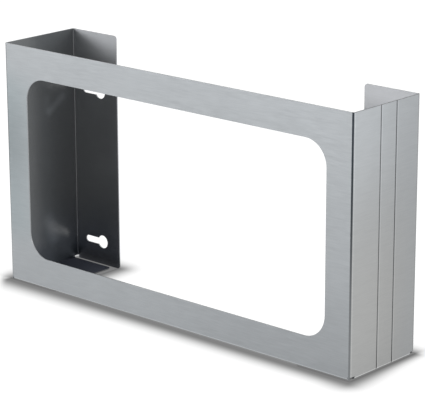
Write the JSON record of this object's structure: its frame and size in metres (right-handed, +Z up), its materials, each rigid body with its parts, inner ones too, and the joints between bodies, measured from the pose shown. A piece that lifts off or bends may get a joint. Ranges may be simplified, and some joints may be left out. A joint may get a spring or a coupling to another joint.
{
  "type": "glove box dispenser",
  "caption": "Wall holder for boxes of disposable gloves, folded from one stainless sheet, with a wide rounded front window, open top, bottom tabs and keyholed back flanges.",
  "frame": {"origin": "centre of the underside, on the surface that the holder stands on", "axes": "+X along the length of the front, +Y from the front panel back to the wall, +Z up to the open top"},
  "size_m": [0.457, 0.0988, 0.255],
  "materials": {
    "stainless": "fine brushed stainless sheet"
  },
  "bodies": {
    "root": {"folded_body": "stainless"}
  },
  "joints": []
}
